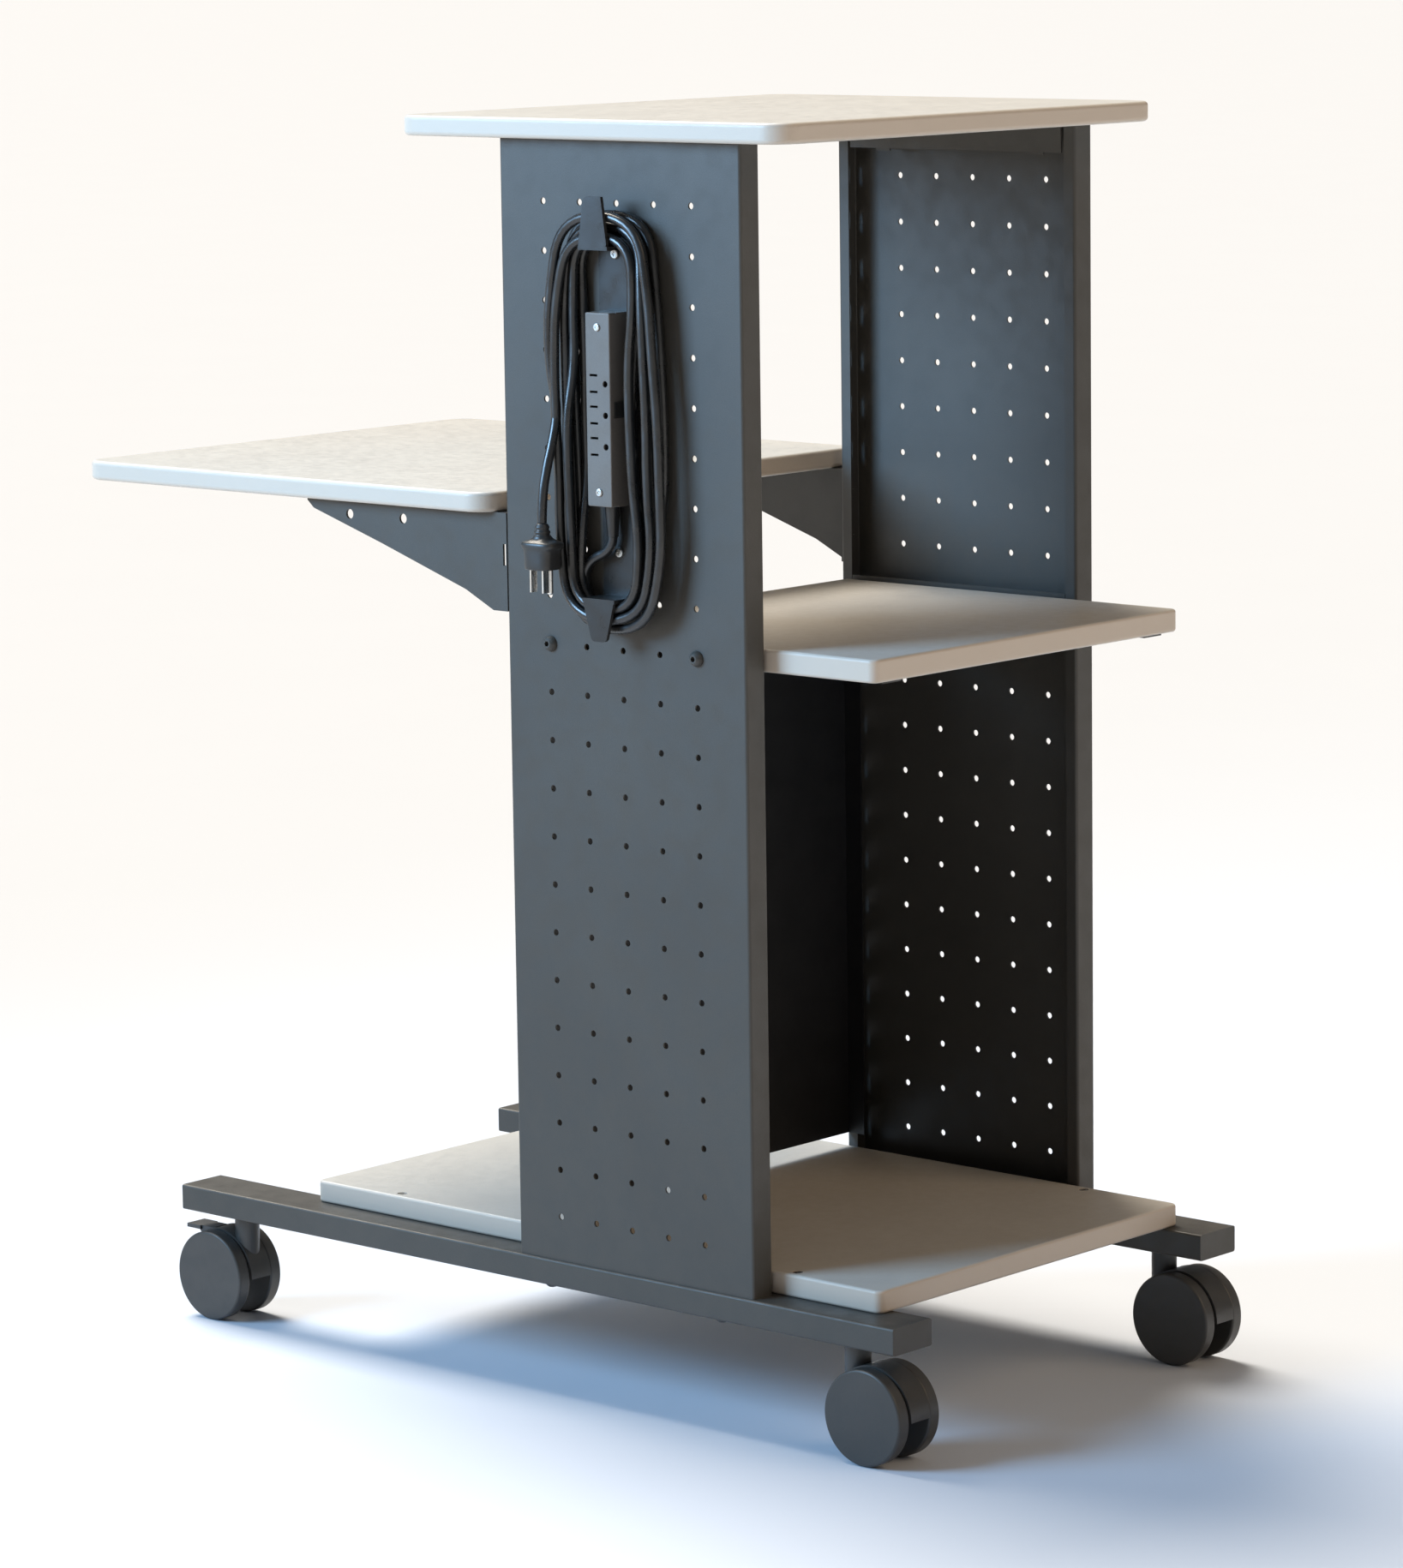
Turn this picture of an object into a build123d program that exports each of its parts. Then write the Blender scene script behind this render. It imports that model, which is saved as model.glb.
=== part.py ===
"""Mobile printer stand.

Two base rails on twin-wheel casters carry two perforated side panels. The panels hold a top
shelf, a middle shelf and a cantilever shelf, the rails hold a bottom shelf, and a back panel
closes the lower bay. A cord winder on the left panel carries a three-outlet power strip and its
wound cord.

Millimetres. +Z is up, -Y is the front, where the two lower shelves project, and +Y is the rear,
where the cantilever shelf hangs. The origin is on the floor, in the middle of the footprint.
"""

import os
from math import pi, radians, tan

from build123d import *

os.makedirs("parts", exist_ok=True)

# Driving dimensions -------------------------------------------------------------------------

SIDES = (("left", -1), ("right", 1))
PITCH = 38.1  # spacing of the adjustment holes, both ways

RAIL_X = 192.0  # centre line of each rail from the middle
RAIL_WIDTH, RAIL_HEIGHT, RAIL_WALL, RAIL_CORNER = 46.0, 21.3, 1.8, 2.0
RAIL_FRONT, RAIL_REAR = -425.8, 348.8
RAIL_BOTTOM = 90.3
RAIL_TOP = RAIL_BOTTOM + RAIL_HEIGHT
RAIL_MIDDLE = RAIL_BOTTOM + RAIL_HEIGHT / 2

SHEET = 1.5  # folded steel
PANEL_FACE = 212.5  # outer face of each side panel from the middle
PANEL_DEPTH, PANEL_LIP = 22.0, 11.0
PANEL_FRONT, PANEL_REAR = -287.1, -39.4
PANEL_TOP = 995.5
PANEL_Y = (PANEL_FRONT + PANEL_REAR) / 2
PANEL_WIDTH = PANEL_REAR - PANEL_FRONT
PANEL_INNER = PANEL_FACE - PANEL_DEPTH
PANEL_MIDDLE = PANEL_FACE - PANEL_DEPTH / 2
MOUTH_FRONT, MOUTH_REAR = PANEL_FRONT + PANEL_LIP, PANEL_REAR - PANEL_LIP
HOLE_SHIFT = 1.9  # the hole pattern sits this far off the panel's middle line
HOLE_R = 2.6
HOLE_COLUMNS, HOLE_ROWS = 5, 22
TOP_ROW = 947.5
GRID_MIDDLE = TOP_ROW - (HOLE_ROWS - 1) * PITCH / 2
SLOT_WIDTH, SLOT_HEIGHT = 4.0, 14.0  # slots for hook-in brackets, one beside each row

BOARD, THICK_BOARD = 16.0, 18.0
TOP_SIZE, TOP_Y = (457.2, 401.0), -141.5
CANTILEVER_SIZE, CANTILEVER_Y, CANTILEVER_Z = (454.0, 464.5), 203.25, 703.5
MIDDLE_SIZE, MIDDLE_Y, MIDDLE_Z = (375.0, 346.0), -220.0, 595.0
BOTTOM_SIZE, BOTTOM_Y = (375.0, 609.6), -87.8
OUTER_CORNER, INNER_CORNER = 21.0, 7.0
OUTER_EDGE_R, INNER_EDGE_R = 3.5, 2.5

BOLT_R, BOLT_HEAD_R, BOLT_HEAD_HEIGHT, BOLT_SOCKET = 2.45, 6.25, 5.0, 4.0
NUT_FLATS, NUT_HEIGHT = 8.0, 4.0
SCREW_R, SCREW_HEAD_R, SCREW_HEAD_HEIGHT, SCREW_BITE = 1.9, 3.9, 2.2, 12.0
RAIL_BOLT_X, RAIL_BOLT_Y = 200.0, (-62.5, -243.5)
BOTTOM_SCREW_X, BOTTOM_SCREW_Y = 178.5, (-302.0, 126.0)
ANGLE_SCREW_X = 201.0
TOP_SCREW_Y, CANTILEVER_SCREW_Y = (-88.0, -238.0), (20.0, 150.0)
SINK_R, SINK_DEPTH = 4.2, 2.5  # counterbore that hides each bottom screw's head
BOTTOM_SCREW_LENGTH = 21.5
SHELF_BOLT_Z = TOP_ROW - 9 * PITCH  # the row that carries the middle shelf

ANGLE_HEIGHT, ANGLE_FOOT = 25.0, 2.0
MIDDLE_ANGLE_TOP, MIDDLE_ANGLE_REACH, ARM_FRONT = 616.0, 150.0, -386.0

BACK_FACE, BACK_SHEET, BACK_HALF = -41.0, 1.2, 190.3
BACK_BOTTOM, BACK_TOP, BACK_FLANGE = 140.0, 591.0, 18.0
CLIP_HEIGHTS = (426.0, 310.0, 172.0)

WHEEL_R, WHEEL_WIDTH, WHEEL_GAP = 37.5, 12.2, 11.8
HOOD_R, HOOD_HALF, HOOD_WALL = 38.5, 11.0, 2.5
TRAIL = 23.0  # from the swivel axis to the axle
AXLE_R, STEM_R, NECK_R = 3.0, 5.0, 10.25
RUNNING = 0.05  # radial clearance of each bearing
NECK_TOP = 87.0
CASTER_INSET = 51.8  # from the rail's end to the swivel axis
PEDAL_PIVOT = (16.0, 26.5)  # from the axle: towards the trailing side, and up

HOOK_TOP, HOOK_BOTTOM = 916.5, 644.5  # faces that carry the wound cord
HOOK_ROOM, HOOK_SHEET = 22.8, 3.0
PLATE_FACE = PANEL_FACE + SHEET
WINDER_Y = PANEL_Y + HOLE_SHIFT
WINDER_SCREW_Z = (TOP_ROW - PITCH, TOP_ROW - 7 * PITCH)
STRIP_WIDTH, STRIP_LENGTH, STRIP_Z = 25.0, 148.0, 792.0
HOUSING_DEPTH, COVER_DEPTH, STRIP_WALL = 14.0, 8.0, 1.5
HOUSING_FACE = PLATE_FACE + HOUSING_DEPTH
COVER_FACE = HOUSING_FACE + COVER_DEPTH
OUTLET_Z, OUTLET_SPACING = 788.0, 24.0
BLADE_SPACING, GROUND_OFFSET, GROUND_R = 12.7, 11.9, 2.5
BLADE_Y = 4.5  # blade slots from the strip's middle line
SLOT_LENGTH, SLOT_THICKNESS = 8.0, 1.8
STRIP_SCREW_INSET = 11.0

CORD_R = 3.8
PLUG_X, PLUG_Y = -249.5, -113.0
PLUG_BOTTOM, PLUG_SHOULDER, PLUG_TOP = 668.0, 690.0, 704.0

# Routes of the cord's free stretches. The wound length between them is the hank.
LEAD_ROUTE = (
    (-222.0, WINDER_Y, 694.0),
    (-222.0, -157.0, 676.0),
    (-223.0, -148.0, 659.0),
    (-224.0, -138.0, 648.0),
)
TAIL_ROUTE = (
    (-231.0, -114.0, 790.0),
    (-236.5, -114.5, 769.0),
    (-244.0, -114.0, 747.0),
    (-248.8, -113.0, 725.0),
    (PLUG_X, PLUG_Y, PLUG_TOP),
)


# Helpers ------------------------------------------------------------------------------------


def save(builder, name):
    """Labels a finished piece and writes it as its own STEP file."""
    builder.part.label = name
    export_step(builder.part, f"parts/{name}.step")


def side_face(sign, y=0.0, z=0.0, x=PANEL_FACE):
    """A plane facing outwards on one side. Its own Y is up, and its X is sign times +Y."""
    return Plane(origin=(sign * x, y, z), x_dir=(0, sign, 0), z_dir=(sign, 0, 0))


def hole_middle(sign):
    """Middle column of a panel's holes. Both panels are one part, one of them turned round."""
    return PANEL_Y - sign * HOLE_SHIFT


def shelf_bolt_places(sign):
    """Outer columns of a panel's holes, which carry the middle shelf's bolts."""
    return [hole_middle(sign) + step * PITCH for step in (-2, 2)]


def make_button_bolt(length):
    """A button-head socket bolt: the head stands on Z = 0 and the shank runs down."""
    with BuildPart() as bolt:
        with BuildSketch(Plane.XZ):
            with BuildLine():
                Line((0, 0), (BOLT_HEAD_R, 0))
                Line((BOLT_HEAD_R, 0), (BOLT_HEAD_R, 1.0))
                RadiusArc((BOLT_HEAD_R, 1.0), (3.2, BOLT_HEAD_HEIGHT), -6.2)
                Line((3.2, BOLT_HEAD_HEIGHT), (0, BOLT_HEAD_HEIGHT))
                Line((0, BOLT_HEAD_HEIGHT), (0, 0))
            make_face()
        revolve(axis=Axis.Z)
        with BuildSketch(Plane.XY.offset(BOLT_HEAD_HEIGHT)):
            RegularPolygon(BOLT_SOCKET / 2, 6, major_radius=False)
        extrude(amount=-3.0, mode=Mode.SUBTRACT)
        with BuildSketch(Plane.XY):
            Circle(BOLT_R)
        extrude(amount=-length)
    return bolt.part


def make_pan_screw(length, shank=SCREW_R, head=SCREW_HEAD_R, rise=SCREW_HEAD_HEIGHT):
    """A pan-head cross-recess screw: the head stands on Z = 0 and the shank runs down."""
    with BuildPart() as screw:
        with BuildSketch(Plane.XY):
            Circle(head)
        extrude(amount=rise)
        fillet(screw.edges().group_by(Axis.Z)[-1], rise * 0.45)
        with BuildSketch(Plane.XY.offset(rise)):
            Rectangle(head, head * 0.2)
            Rectangle(head * 0.2, head)
        extrude(amount=-rise * 0.5, mode=Mode.SUBTRACT)
        with BuildSketch(Plane.XY):
            Circle(shank)
        extrude(amount=-length)
    return screw.part


def make_nut(bore, flats, height):
    """A hexagon nut standing on Z = 0."""
    with BuildPart() as nut:
        with BuildSketch(Plane.XY):
            RegularPolygon(flats / 2, 6, major_radius=False)
            Circle(bore, mode=Mode.SUBTRACT)
        extrude(amount=height)
    return nut.part


def make_board(size, y, z, thickness, corner, edge_r, holes):
    """A laminated shelf with softly rounded edges. Each hole is a plane and a depth behind it."""
    with BuildPart() as board:
        with BuildSketch(Plane.XY.offset(z)):
            with Locations((0, y)):
                RectangleRounded(*size, corner)
        extrude(amount=thickness)
        outline = board.edges().group_by(Axis.Z)
        fillet(outline[0] + outline[-1], edge_r)
        for plane, radius, depth in holes:
            with BuildSketch(plane):
                Circle(radius)
            extrude(amount=-depth, mode=Mode.SUBTRACT)
    return board


def print_route(name, points):
    """Arc radii of a route: 0.45 of the shorter run over the tangent of half the turn."""
    vectors = [Vector(*point) for point in points]
    radii = []
    for before, here, after in zip(vectors, vectors[1:], vectors[2:]):
        arriving, leaving = here - before, after - here
        turn = radians(arriving.get_angle(leaving))
        radii.append(0.45 * min(arriving.length, leaving.length) / tan(turn / 2))
    print(name, "radii", [round(radius, 1) for radius in radii])
    return radii


def make_cord(name, points):
    """A cord's tube: straight runs joined by tangent arcs."""
    radii = print_route(name, points)
    with BuildPart() as cord:
        with BuildLine() as route:
            FilletPolyline(*points, radius=radii)
        path = route.wire()
        with BuildSketch(Plane(origin=path @ 0, z_dir=path % 0)):
            Circle(CORD_R)
        sweep(path=path)
    volume_ratio = cord.part.volume / (pi * CORD_R**2 * path.length)
    print(name, "length", round(path.length, 1), "volume over section times length", volume_ratio)
    return cord


# Base rails ---------------------------------------------------------------------------------

CASTER_ENDS = (("front", RAIL_FRONT + CASTER_INSET, -1), ("rear", RAIL_REAR - CASTER_INSET, 1))
STEM_PLACES = [(sign * RAIL_X, y) for _, sign in SIDES for _, y, _ in CASTER_ENDS]

for side, sign in SIDES:
    with BuildPart() as rail:
        rail_start = Plane((sign * RAIL_X, RAIL_FRONT, RAIL_MIDDLE), (1, 0, 0), (0, 1, 0))
        with BuildSketch(rail_start):
            RectangleRounded(RAIL_WIDTH, RAIL_HEIGHT, RAIL_CORNER)
            inner = (RAIL_WIDTH - 2 * RAIL_WALL, RAIL_HEIGHT - 2 * RAIL_WALL)
            RectangleRounded(*inner, RAIL_CORNER - RAIL_WALL, mode=Mode.SUBTRACT)
        extrude(amount=RAIL_REAR - RAIL_FRONT)
        with BuildSketch(Plane.XY.offset(RAIL_BOTTOM)):
            with Locations([place for place in STEM_PLACES if place[0] * sign > 0]):
                Circle(STEM_R + 0.2)
        extrude(amount=RAIL_WALL, mode=Mode.SUBTRACT)
        with BuildSketch(Plane.XY.offset(RAIL_BOTTOM)):
            with Locations([(sign * RAIL_BOLT_X, y) for y in RAIL_BOLT_Y]):
                Circle(HOLE_R)
        extrude(amount=RAIL_HEIGHT, mode=Mode.SUBTRACT)
        with BuildSketch(Plane.XY.offset(RAIL_TOP)):
            with Locations([(sign * BOTTOM_SCREW_X, y) for y in BOTTOM_SCREW_Y]):
                Circle(SCREW_R)
        extrude(amount=-RAIL_WALL, mode=Mode.SUBTRACT)
    save(rail, f"base_rail_{side}")

with BuildPart() as rail_end_caps:
    for _, sign in SIDES:
        for end, way in ((RAIL_FRONT, -1), (RAIL_REAR, 1)):
            rail_end = Plane((sign * RAIL_X, end, RAIL_MIDDLE), (1, 0, 0), (0, way, 0))
            with BuildSketch(rail_end):
                RectangleRounded(RAIL_WIDTH, RAIL_HEIGHT, RAIL_CORNER)
            extrude(amount=2.0)
            with BuildSketch(rail_end):
                RectangleRounded(RAIL_WIDTH - 4.0, RAIL_HEIGHT - 4.0, 1.0)
            extrude(amount=-12.0)
save(rail_end_caps, "rail_end_caps")

# Side panels: lipped channels with a grid of holes, hook slots and a foot flange --------------

for side, sign in SIDES:
    with BuildPart() as panel:
        with BuildSketch(Plane.XY.offset(RAIL_TOP)):
            with Locations((sign * PANEL_MIDDLE, PANEL_Y)):
                RectangleRounded(PANEL_DEPTH, PANEL_WIDTH, 2.4)
                inner = (PANEL_DEPTH - 2 * SHEET, PANEL_WIDTH - 2 * SHEET)
                RectangleRounded(*inner, 2.4 - SHEET, mode=Mode.SUBTRACT)
            with Locations((sign * PANEL_INNER, PANEL_Y)):
                Rectangle(4 * SHEET, MOUTH_REAR - MOUTH_FRONT, mode=Mode.SUBTRACT)
        extrude(amount=PANEL_TOP - RAIL_TOP)
        with BuildSketch(Plane.XY.offset(RAIL_TOP)):
            with Locations((sign * PANEL_MIDDLE, PANEL_Y)):
                Rectangle(PANEL_DEPTH - 2 * SHEET, PANEL_WIDTH - 2 * SHEET)
        extrude(amount=SHEET)
        with BuildSketch(Plane.XY.offset(RAIL_TOP)):
            with Locations([(sign * RAIL_BOLT_X, y) for y in RAIL_BOLT_Y]):
                Circle(HOLE_R)
        extrude(amount=SHEET, mode=Mode.SUBTRACT)
        with BuildSketch(side_face(sign, hole_middle(sign), GRID_MIDDLE)):
            with GridLocations(PITCH, PITCH, HOLE_COLUMNS, HOLE_ROWS):
                Circle(HOLE_R)
        extrude(amount=-SHEET, mode=Mode.SUBTRACT)
        rear_flange = Plane((sign * PANEL_MIDDLE, PANEL_REAR, GRID_MIDDLE), (-1, 0, 0), (0, 1, 0))
        with BuildSketch(rear_flange):
            with GridLocations(PITCH, PITCH, 1, HOLE_ROWS):
                Rectangle(SLOT_WIDTH, SLOT_HEIGHT)
        extrude(amount=-SHEET, mode=Mode.SUBTRACT)
    save(panel, f"side_panel_{side}")

# Shelves and the screws that hold them ------------------------------------------------------

pan_screw = make_pan_screw(SCREW_BITE + ANGLE_FOOT)


def seen_from_below(places, z):
    """Planes at a height whose normals point down."""
    return [Plane((x, y, z), (1, 0, 0), (0, 0, -1)) for x, y in places]


SCREW_PLACES = {
    "top": [(sign * ANGLE_SCREW_X, y) for _, sign in SIDES for y in TOP_SCREW_Y],
    "cantilever": [(sign * ANGLE_SCREW_X, y) for _, sign in SIDES for y in CANTILEVER_SCREW_Y],
    "bottom": [(sign * BOTTOM_SCREW_X, y) for _, sign in SIDES for y in BOTTOM_SCREW_Y],
}

top_shelf = make_board(
    TOP_SIZE,
    TOP_Y,
    PANEL_TOP,
    BOARD,
    OUTER_CORNER,
    OUTER_EDGE_R,
    [(p, SCREW_R, SCREW_BITE) for p in seen_from_below(SCREW_PLACES["top"], PANEL_TOP)],
)
save(top_shelf, "top_shelf")

with BuildPart() as top_shelf_screws:
    with Locations(seen_from_below(SCREW_PLACES["top"], PANEL_TOP - ANGLE_FOOT)):
        add(pan_screw)
save(top_shelf_screws, "top_shelf_screws")

cantilever_shelf = make_board(
    CANTILEVER_SIZE,
    CANTILEVER_Y,
    CANTILEVER_Z,
    BOARD,
    OUTER_CORNER,
    OUTER_EDGE_R,
    [
        (p, SCREW_R, SCREW_BITE)
        for p in seen_from_below(SCREW_PLACES["cantilever"], CANTILEVER_Z)
    ],
)
save(cantilever_shelf, "cantilever_shelf")

with BuildPart() as cantilever_shelf_screws:
    with Locations(seen_from_below(SCREW_PLACES["cantilever"], CANTILEVER_Z - ANGLE_FOOT)):
        add(pan_screw)
save(cantilever_shelf_screws, "cantilever_shelf_screws")

SHELF_BOLT_LENGTH = 45.0
SHELF_BOLT_BITE = SHELF_BOLT_LENGTH - (PANEL_FACE - MIDDLE_SIZE[0] / 2)
middle_bolt_holes = [
    (side_face(sign, y, SHELF_BOLT_Z, MIDDLE_SIZE[0] / 2), BOLT_R, SHELF_BOLT_BITE)
    for _, sign in SIDES
    for y in shelf_bolt_places(sign)
]
middle_shelf = make_board(
    MIDDLE_SIZE,
    MIDDLE_Y,
    MIDDLE_Z,
    THICK_BOARD,
    INNER_CORNER,
    INNER_EDGE_R,
    middle_bolt_holes,
)
save(middle_shelf, "middle_shelf")

bottom_screw_planes = [Plane((x, y, RAIL_TOP + THICK_BOARD)) for x, y in SCREW_PLACES["bottom"]]
bottom_screw_holes = [
    (plane, radius, depth)
    for plane in bottom_screw_planes
    for radius, depth in ((SINK_R, SINK_DEPTH), (SCREW_R, THICK_BOARD))
]
bottom_shelf = make_board(
    BOTTOM_SIZE,
    BOTTOM_Y,
    RAIL_TOP,
    THICK_BOARD,
    INNER_CORNER,
    INNER_EDGE_R,
    bottom_screw_holes,
)
save(bottom_shelf, "bottom_shelf")

with BuildPart() as bottom_shelf_screws:
    with Locations([plane.offset(-SINK_DEPTH) for plane in bottom_screw_planes]):
        add(make_pan_screw(BOTTOM_SCREW_LENGTH))
save(bottom_shelf_screws, "bottom_shelf_screws")

# Bolts, nuts and spacers --------------------------------------------------------------------

with BuildPart() as middle_shelf_bolts:
    shelf_bolt = make_button_bolt(SHELF_BOLT_LENGTH)
    for _, sign in SIDES:
        with Locations([side_face(sign, y, SHELF_BOLT_Z) for y in shelf_bolt_places(sign)]):
            add(shelf_bolt)
save(middle_shelf_bolts, "middle_shelf_bolts")

with BuildPart() as middle_shelf_spacers:
    for _, sign in SIDES:
        for inner_end, outer_end in (
            (MIDDLE_SIZE[0] / 2, PANEL_INNER),
            (PANEL_INNER + SHEET, PANEL_FACE - SHEET),
        ):
            for y in shelf_bolt_places(sign):
                with BuildSketch(side_face(sign, y, SHELF_BOLT_Z, inner_end)):
                    Circle(5.5)
                    Circle(BOLT_R, mode=Mode.SUBTRACT)
                extrude(amount=outer_end - inner_end)
save(middle_shelf_spacers, "middle_shelf_spacers")

RAIL_BOLT_PLACES = [(sign * RAIL_BOLT_X, y) for _, sign in SIDES for y in RAIL_BOLT_Y]
RAIL_BOLT_LENGTH = RAIL_HEIGHT + SHEET + NUT_HEIGHT + 2.0

with BuildPart() as panel_to_rail_bolts:
    rail_bolt = make_button_bolt(RAIL_BOLT_LENGTH)
    with Locations(seen_from_below(RAIL_BOLT_PLACES, RAIL_BOTTOM)):
        add(rail_bolt)
save(panel_to_rail_bolts, "panel_to_rail_bolts")

with BuildPart() as panel_nuts:
    nut = make_nut(BOLT_R, NUT_FLATS, NUT_HEIGHT)
    with Locations([(x, y, RAIL_TOP + SHEET) for x, y in RAIL_BOLT_PLACES]):
        add(nut)
    inside_panel = [
        Plane((SHEET - PANEL_FACE, WINDER_Y, z), (0, 1, 0), (1, 0, 0)) for z in WINDER_SCREW_Z
    ]
    with Locations(inside_panel):
        add(nut)
save(panel_nuts, "panel_nuts")

# Shelf angles -------------------------------------------------------------------------------

for side, sign in SIDES:
    with BuildPart() as top_angle:
        with BuildSketch(Plane((0, MOUTH_REAR - 2.5, 0), (1, 0, 0), (0, -1, 0))):
            with Locations((sign * (PANEL_INNER + SHEET / 2), PANEL_TOP)):
                Rectangle(SHEET, ANGLE_HEIGHT, align=(Align.CENTER, Align.MAX))
            with Locations((sign * (PANEL_INNER + (PANEL_DEPTH - SHEET) / 2), PANEL_TOP)):
                Rectangle(PANEL_DEPTH - SHEET, ANGLE_FOOT, align=(Align.CENTER, Align.MAX))
        extrude(amount=MOUTH_REAR - MOUTH_FRONT - 5.5)
        with BuildSketch(Plane.YZ.offset(sign * PANEL_INNER)):
            with Locations([(y, PANEL_TOP - ANGLE_HEIGHT) for y in (-88.0, -248.5)]):
                Rectangle(14.0, 4.0)
        extrude(amount=sign * SHEET)
        with BuildSketch(Plane.XY.offset(PANEL_TOP)):
            with Locations([place for place in SCREW_PLACES["top"] if place[0] * sign > 0]):
                Circle(SCREW_R)
        extrude(amount=-ANGLE_FOOT, mode=Mode.SUBTRACT)
    save(top_angle, f"top_shelf_angle_{side}")

    with BuildPart() as middle_angle:
        with BuildSketch(Plane.YZ.offset(sign * PANEL_INNER)):
            with Locations(((MOUTH_FRONT + MOUTH_REAR) / 2, MIDDLE_Z - ANGLE_FOOT)):
                Rectangle(
                    MOUTH_REAR - MOUTH_FRONT - 1.0,
                    MIDDLE_ANGLE_TOP - MIDDLE_Z + ANGLE_FOOT,
                    align=(Align.CENTER, Align.MIN),
                )
        extrude(amount=sign * SHEET)
        with BuildSketch(Plane.XY.offset(MIDDLE_Z - ANGLE_FOOT)):
            foot_middle = sign * (MIDDLE_ANGLE_REACH + PANEL_INNER + SHEET) / 2
            with Locations((foot_middle, (MOUTH_FRONT + MOUTH_REAR) / 2)):
                Rectangle(
                    PANEL_INNER + SHEET - MIDDLE_ANGLE_REACH, MOUTH_REAR - MOUTH_FRONT - 1.0
                )
            with Locations((sign * (MIDDLE_ANGLE_REACH + 11.0), (ARM_FRONT + MOUTH_FRONT) / 2)):
                Rectangle(22.0, MOUTH_FRONT - ARM_FRONT + 2.0)
        extrude(amount=ANGLE_FOOT)
        for y in shelf_bolt_places(sign):
            with BuildSketch(side_face(sign, y, SHELF_BOLT_Z, PANEL_INNER + SHEET)):
                Circle(BOLT_R)
            extrude(amount=-SHEET, mode=Mode.SUBTRACT)
    save(middle_angle, f"middle_shelf_angle_{side}")

# Brackets of the cantilever shelf -----------------------------------------------------------

BRACKET_SHEET = 2.0
BRACKET_FRONT, BRACKET_REAR, BRACKET_BOTTOM = PANEL_REAR, 182.0, 626.0
BRACKET_HOOKS = (TOP_ROW - 7 * PITCH, TOP_ROW - 8 * PITCH)
BRACKET_FLANGE = 18.0
BRACKET_OUTLINE = (
    (BRACKET_FRONT, CANTILEVER_Z),
    (BRACKET_REAR, CANTILEVER_Z),
    (BRACKET_REAR, CANTILEVER_Z - 3.0),
    (175.0, 694.5),
    (99.0, 671.0),
    (6.0, 640.5),
    (-24.0, BRACKET_BOTTOM),
    (BRACKET_FRONT, BRACKET_BOTTOM),
)

for side, sign in SIDES:
    flange_x = sign * (PANEL_FACE - BRACKET_SHEET - BRACKET_FLANGE / 2)
    with BuildPart() as bracket:
        with BuildSketch(Plane.YZ.offset(sign * PANEL_FACE)):
            with BuildLine():
                Polyline(*BRACKET_OUTLINE, close=True)
            make_face()
            with Locations((134.0, 692.0), (74.0, 692.0)):
                Circle(4.0, mode=Mode.SUBTRACT)
            with Locations((BRACKET_FRONT + 2.5, 670.5)):
                Rectangle(3.0, 17.0, mode=Mode.SUBTRACT)
        extrude(amount=-sign * BRACKET_SHEET)
        with BuildSketch(Plane.XY.offset(CANTILEVER_Z)):
            with Locations((flange_x, (BRACKET_FRONT + 178.0) / 2)):
                Rectangle(BRACKET_FLANGE, 178.0 - BRACKET_FRONT)
        extrude(amount=-BRACKET_SHEET)
        with BuildSketch(Plane.XY.offset(BRACKET_BOTTOM)):
            with Locations((flange_x, BRACKET_FRONT + BRACKET_SHEET / 2)):
                Rectangle(BRACKET_FLANGE, BRACKET_SHEET)
        extrude(amount=CANTILEVER_Z - BRACKET_BOTTOM)
        with BuildSketch(Plane.YZ.offset(sign * PANEL_MIDDLE)):
            for hook_z in BRACKET_HOOKS:
                with Locations((BRACKET_FRONT - 0.85, hook_z)):
                    Rectangle(3.7, 11.0)
                with Locations((BRACKET_FRONT - 2.85, hook_z - 2.75)):
                    Rectangle(2.3, 16.5)
        extrude(amount=1.6, both=True)
        with BuildSketch(Plane.XY.offset(CANTILEVER_Z)):
            with Locations([p for p in SCREW_PLACES["cantilever"] if p[0] * sign > 0]):
                Circle(SCREW_R)
        extrude(amount=-BRACKET_SHEET, mode=Mode.SUBTRACT)
    save(bracket, f"cantilever_bracket_{side}")

# Back panel and its clips -------------------------------------------------------------------

with BuildPart() as back_panel:
    with BuildSketch(Plane.XY.offset(BACK_BOTTOM)):
        with Locations((0, BACK_FACE - BACK_SHEET / 2)):
            Rectangle(2 * BACK_HALF, BACK_SHEET)
        for _, sign in SIDES:
            with Locations((sign * (BACK_HALF - BACK_SHEET / 2), BACK_FACE - BACK_FLANGE / 2)):
                Rectangle(BACK_SHEET, BACK_FLANGE)
    extrude(amount=BACK_TOP - BACK_BOTTOM)
save(back_panel, "back_panel")

with BuildPart() as back_panel_clips:
    for _, sign in SIDES:
        for z in CLIP_HEIGHTS:
            with BuildSketch(Plane.XY.offset(z - 6.0)):
                with Locations((sign * (BACK_HALF + 1.6), MOUTH_REAR - 3.2)):
                    Rectangle(3.2, 5.6)
                with Locations((sign * (PANEL_INNER + SHEET + 0.8), MOUTH_REAR - 0.4)):
                    Rectangle(1.2, 11.2)
            extrude(amount=12.0)
save(back_panel_clips, "back_panel_clips")

# Cord winder: a plate with a hook at each end, screwed to the left panel ----------------------

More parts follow.
